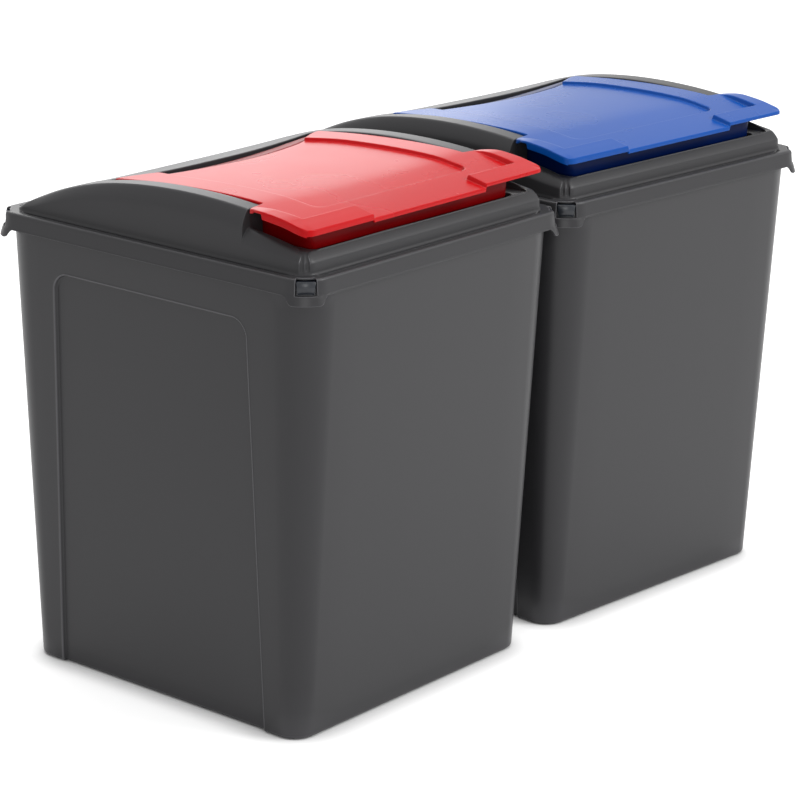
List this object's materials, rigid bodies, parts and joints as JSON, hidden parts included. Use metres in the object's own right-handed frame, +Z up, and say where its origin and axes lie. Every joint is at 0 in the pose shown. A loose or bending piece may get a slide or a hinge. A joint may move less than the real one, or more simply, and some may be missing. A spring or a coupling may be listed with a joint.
{
  "type": "double recycling bin",
  "caption": "Pair of floor-standing recycling bins, each a tapered plastic tub with a lift-off lid frame and a coloured hinged flap raised by its front pads.",
  "frame": {"origin": "on the floor, at the middle of the pair's footprint", "axes": "+X along the row from the red bin to the blue one, -Y out of the fronts, where the flaps are lifted, +Z up"},
  "size_m": [0.799, 0.4256, 0.5005],
  "materials": {
    "grey_plastic": "dark grey moulded plastic with a satin sheen",
    "red_plastic": "bright red moulded plastic, semi-gloss",
    "blue_plastic": "mid blue moulded plastic, semi-gloss"
  },
  "bodies": {
    "red_tub_body": {"red_bin_tub": "grey_plastic"},
    "red_lid_body": {"red_bin_lid_frame": "grey_plastic"},
    "red_flap_body": {"red_bin_flap": "red_plastic"},
    "blue_tub_body": {"blue_bin_tub": "grey_plastic"},
    "blue_lid_body": {"blue_bin_lid_frame": "grey_plastic"},
    "blue_flap_body": {"blue_bin_flap": "blue_plastic"}
  },
  "joints": [
    {"name": "red_lid_lift", "type": "slide", "parent": "red_tub_body", "child": "red_lid_body", "axis": [0, 0, 1], "range_m": [0, 0.15]},
    {"name": "red_flap_hinge", "type": "hinge", "parent": "red_lid_body", "child": "red_flap_body", "pos_m": [-0.20697, 0.084, 0.4845], "axis": [-1, 0, 0], "range_deg": [0, 100]},
    {"name": "blue_lid_lift", "type": "slide", "parent": "blue_tub_body", "child": "blue_lid_body", "axis": [0, 0, 1], "range_m": [0, 0.15]},
    {"name": "blue_flap_hinge", "type": "hinge", "parent": "blue_lid_body", "child": "blue_flap_body", "pos_m": [0.20033, 0.07581, 0.4845], "axis": [-0.9976, 0.0698, 0], "range_deg": [0, 100]},
    {"name": "blue_bin_shift", "type": "slide", "parent": "red_tub_body", "child": "blue_tub_body", "axis": [1, 0, 0], "range_m": [0, 0.3]}
  ]
}
